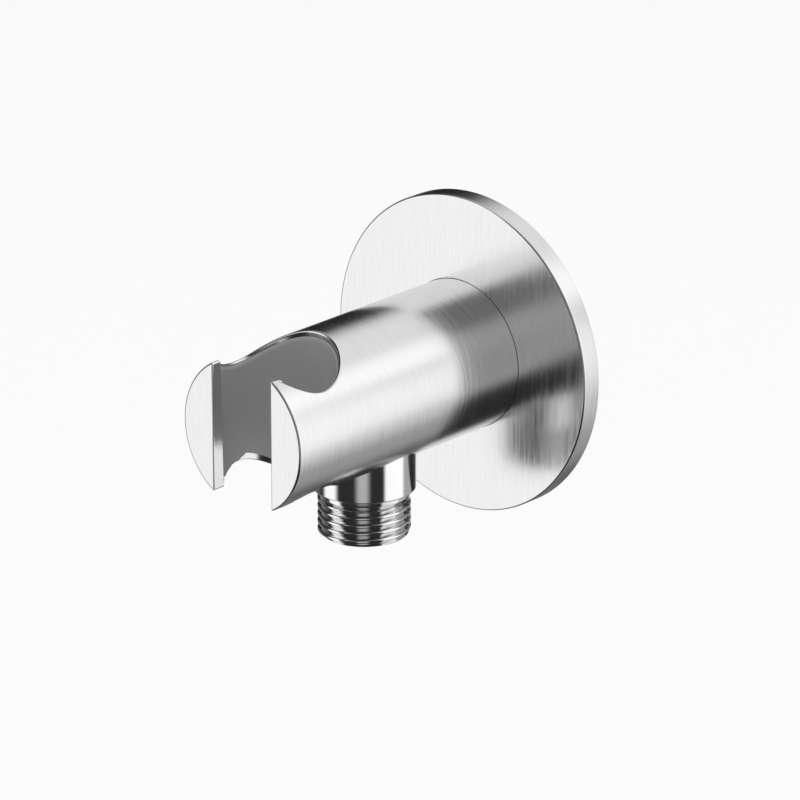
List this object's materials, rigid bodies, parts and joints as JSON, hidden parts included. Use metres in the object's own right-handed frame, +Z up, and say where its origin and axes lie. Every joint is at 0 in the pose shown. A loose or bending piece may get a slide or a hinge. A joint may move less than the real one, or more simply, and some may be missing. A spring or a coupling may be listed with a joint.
{
  "type": "wall outlet elbow",
  "caption": "Round wall outlet elbow for a shower hose: a brushed arm on a flat rosette, with a threaded outlet below and an open-fronted cradle that holds the hand shower.",
  "frame": {"origin": "centre of the rosette's back face, in the plane of the wall", "axes": "+Z up, +Y into the wall along the arm's axis, the arm reaches out along -Y, +X to the right when facing the wall"},
  "size_m": [0.0742, 0.0903, 0.0742],
  "materials": {
    "brushed_metal": "fine directional brushing, satin",
    "polished_metal": "turned and polished",
    "plain_brass": "as turned, unplated",
    "screw_steel": "stainless, as made",
    "liner_plastic": "moulded, fine matt grain",
    "valve_plastic": "moulded acetal",
    "seal_rubber": "smooth rubber",
    "foam": "closed-cell foam",
    "spring_steel": "drawn wire"
  },
  "bodies": {
    "elbow": {"rosette": "brushed_metal", "rosette_ring": "seal_rubber", "wall_gasket": "foam", "arm_body": "brushed_metal", "cradle_liner": "liner_plastic", "outlet_spigot": "polished_metal", "spigot_ring": "seal_rubber", "wall_nipple": "plain_brass", "nipple_rings": "seal_rubber", "set_screw": "screw_steel", "valve_seat": "valve_plastic", "valve_ring": "seal_rubber", "valve_guide": "valve_plastic", "valve_spring": "spring_steel"},
    "poppet": {"valve_poppet": "valve_plastic", "poppet_seal": "seal_rubber"}
  },
  "joints": [
    {"name": "valve_opening", "type": "slide", "parent": "elbow", "child": "poppet", "axis": [0, 0, -1], "range_m": [0, 0.0025], "stiffness_N_per_m": 40, "springref_m": -0.002, "deforming": ["valve_spring"]}
  ]
}
